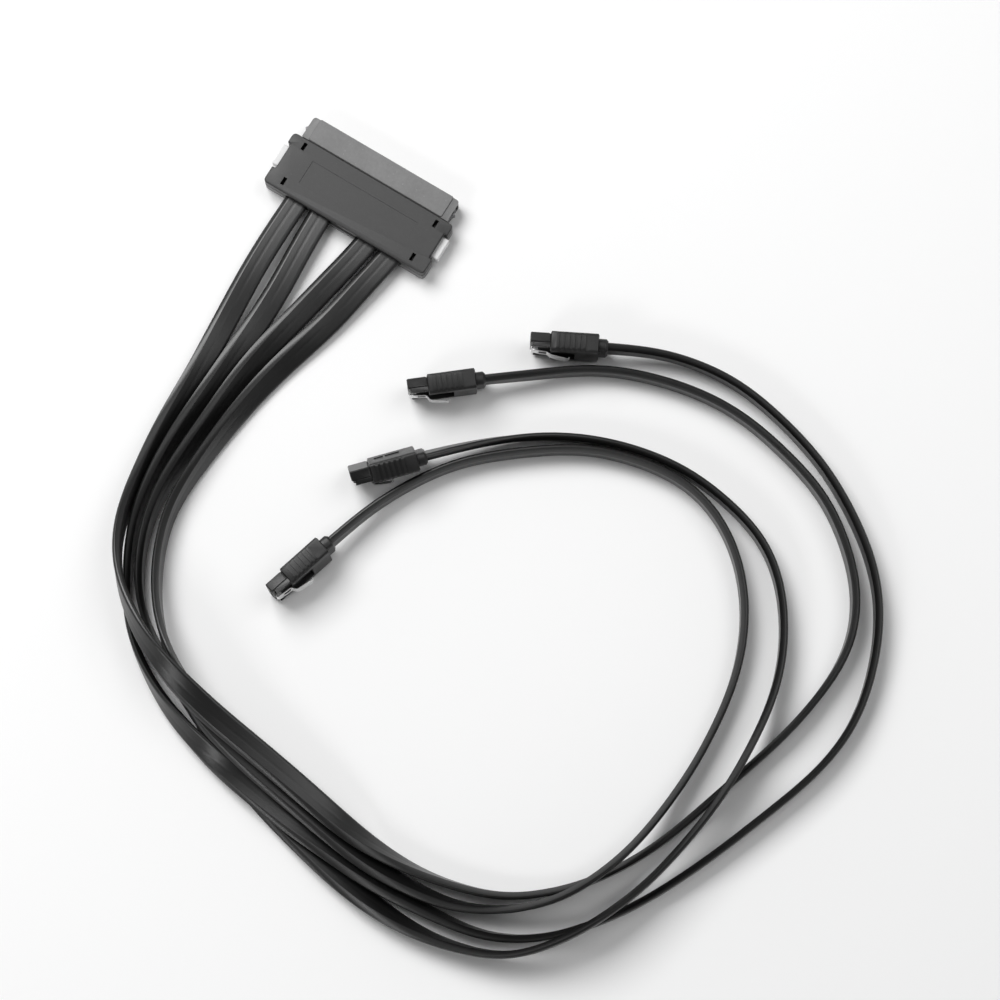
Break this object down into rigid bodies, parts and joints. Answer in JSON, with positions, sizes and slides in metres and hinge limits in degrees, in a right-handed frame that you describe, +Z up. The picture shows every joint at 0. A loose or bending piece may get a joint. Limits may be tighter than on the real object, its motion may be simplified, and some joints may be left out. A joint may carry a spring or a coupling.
{
  "type": "multi-lane breakout cable",
  "caption": "Wide latching multi-lane connector fanned out into long flat cables, each ending in a small keyed plug with a steel latch spring.",
  "frame": {"origin": "under the middle of the wide connector's housing, on the surface that the assembly lies on", "axes": "+X along the wide connector, +Y in its mating direction, +Z up"},
  "size_m": [0.2549, 0.2112, 0.0206],
  "materials": {
    "cover_plastic": "fine moulded texture",
    "shell_plastic": "fine moulded texture",
    "nose_plastic": "fine moulded texture",
    "carrier_plastic": "smooth",
    "tab_plastic": "pale, smooth",
    "spring_steel": "bright rolled strip",
    "contact_brass": "bright",
    "core_insulation": "smooth",
    "cable_jacket": "satin extruded jacket",
    "plug_rubber": "fine moulded texture"
  },
  "bodies": {
    "assembly": {"upper_cover": "cover_plastic", "lower_shell": "shell_plastic", "mating_nose": "nose_plastic", "cable_clamp_bar": "carrier_plastic", "lane_contacts_1": "contact_brass", "core_ends_1": "core_insulation", "flat_cable_1": "cable_jacket", "lane_contacts_2": "contact_brass", "core_ends_2": "core_insulation", "flat_cable_2": "cable_jacket", "lane_contacts_3": "contact_brass", "core_ends_3": "core_insulation", "flat_cable_3": "cable_jacket", "lane_contacts_4": "contact_brass", "core_ends_4": "core_insulation", "flat_cable_4": "cable_jacket", "plug_1_overmould": "plug_rubber", "plug_1_contact_carrier": "carrier_plastic", "plug_1_contacts": "contact_brass", "plug_2_overmould": "plug_rubber", "plug_2_contact_carrier": "carrier_plastic", "plug_2_contacts": "contact_brass", "plug_3_overmould": "plug_rubber", "plug_3_contact_carrier": "carrier_plastic", "plug_3_contacts": "contact_brass", "plug_4_overmould": "plug_rubber", "plug_4_contact_carrier": "carrier_plastic", "plug_4_contacts": "contact_brass"},
    "side_latch_right": {"side_latch_right": "spring_steel", "thumb_tab_right": "tab_plastic"},
    "side_latch_left": {"side_latch_left": "spring_steel", "thumb_tab_left": "tab_plastic"},
    "plug_1_latch": {"plug_1_latch_spring": "spring_steel"},
    "plug_2_latch": {"plug_2_latch_spring": "spring_steel"},
    "plug_3_latch": {"plug_3_latch_spring": "spring_steel"},
    "plug_4_latch": {"plug_4_latch_spring": "spring_steel"}
  },
  "joints": [
    {"name": "side_latch_right_press", "type": "hinge", "parent": "assembly", "child": "side_latch_right", "pos_m": [0.02735, -0.0066, 0.0036], "axis": [0, 0, 1], "range_deg": [0, 3.6], "stiffness_Nm_per_rad": 0.05},
    {"name": "side_latch_left_press", "type": "hinge", "parent": "assembly", "child": "side_latch_left", "pos_m": [-0.02735, -0.0066, 0.0036], "axis": [0, 0, -1], "range_deg": [0, 3.6], "stiffness_Nm_per_rad": 0.05},
    {"name": "plug_1_latch_press", "type": "hinge", "parent": "assembly", "child": "plug_1_latch", "pos_m": [0.07348, -0.0122, 0.007], "axis": [0, 0, 1], "range_deg": [0, 6], "stiffness_Nm_per_rad": 0.02},
    {"name": "plug_2_latch_press", "type": "hinge", "parent": "assembly", "child": "plug_2_latch", "pos_m": [0.04814, -0.04526, 0.00707], "axis": [0.0331, -0.0406, 0.9986], "range_deg": [0, 6], "stiffness_Nm_per_rad": 0.02},
    {"name": "plug_3_latch_press", "type": "hinge", "parent": "assembly", "child": "plug_3_latch", "pos_m": [0.04735, -0.07853, 0.00709], "axis": [0.274, -0.2555, 0.9272], "range_deg": [0, 6], "stiffness_Nm_per_rad": 0.02},
    {"name": "plug_4_latch_press", "type": "hinge", "parent": "assembly", "child": "plug_4_latch", "pos_m": [0.04632, -0.12265, 0.00729], "axis": [-0.0586, 0.0171, 0.9981], "range_deg": [0, 6], "stiffness_Nm_per_rad": 0.02}
  ]
}
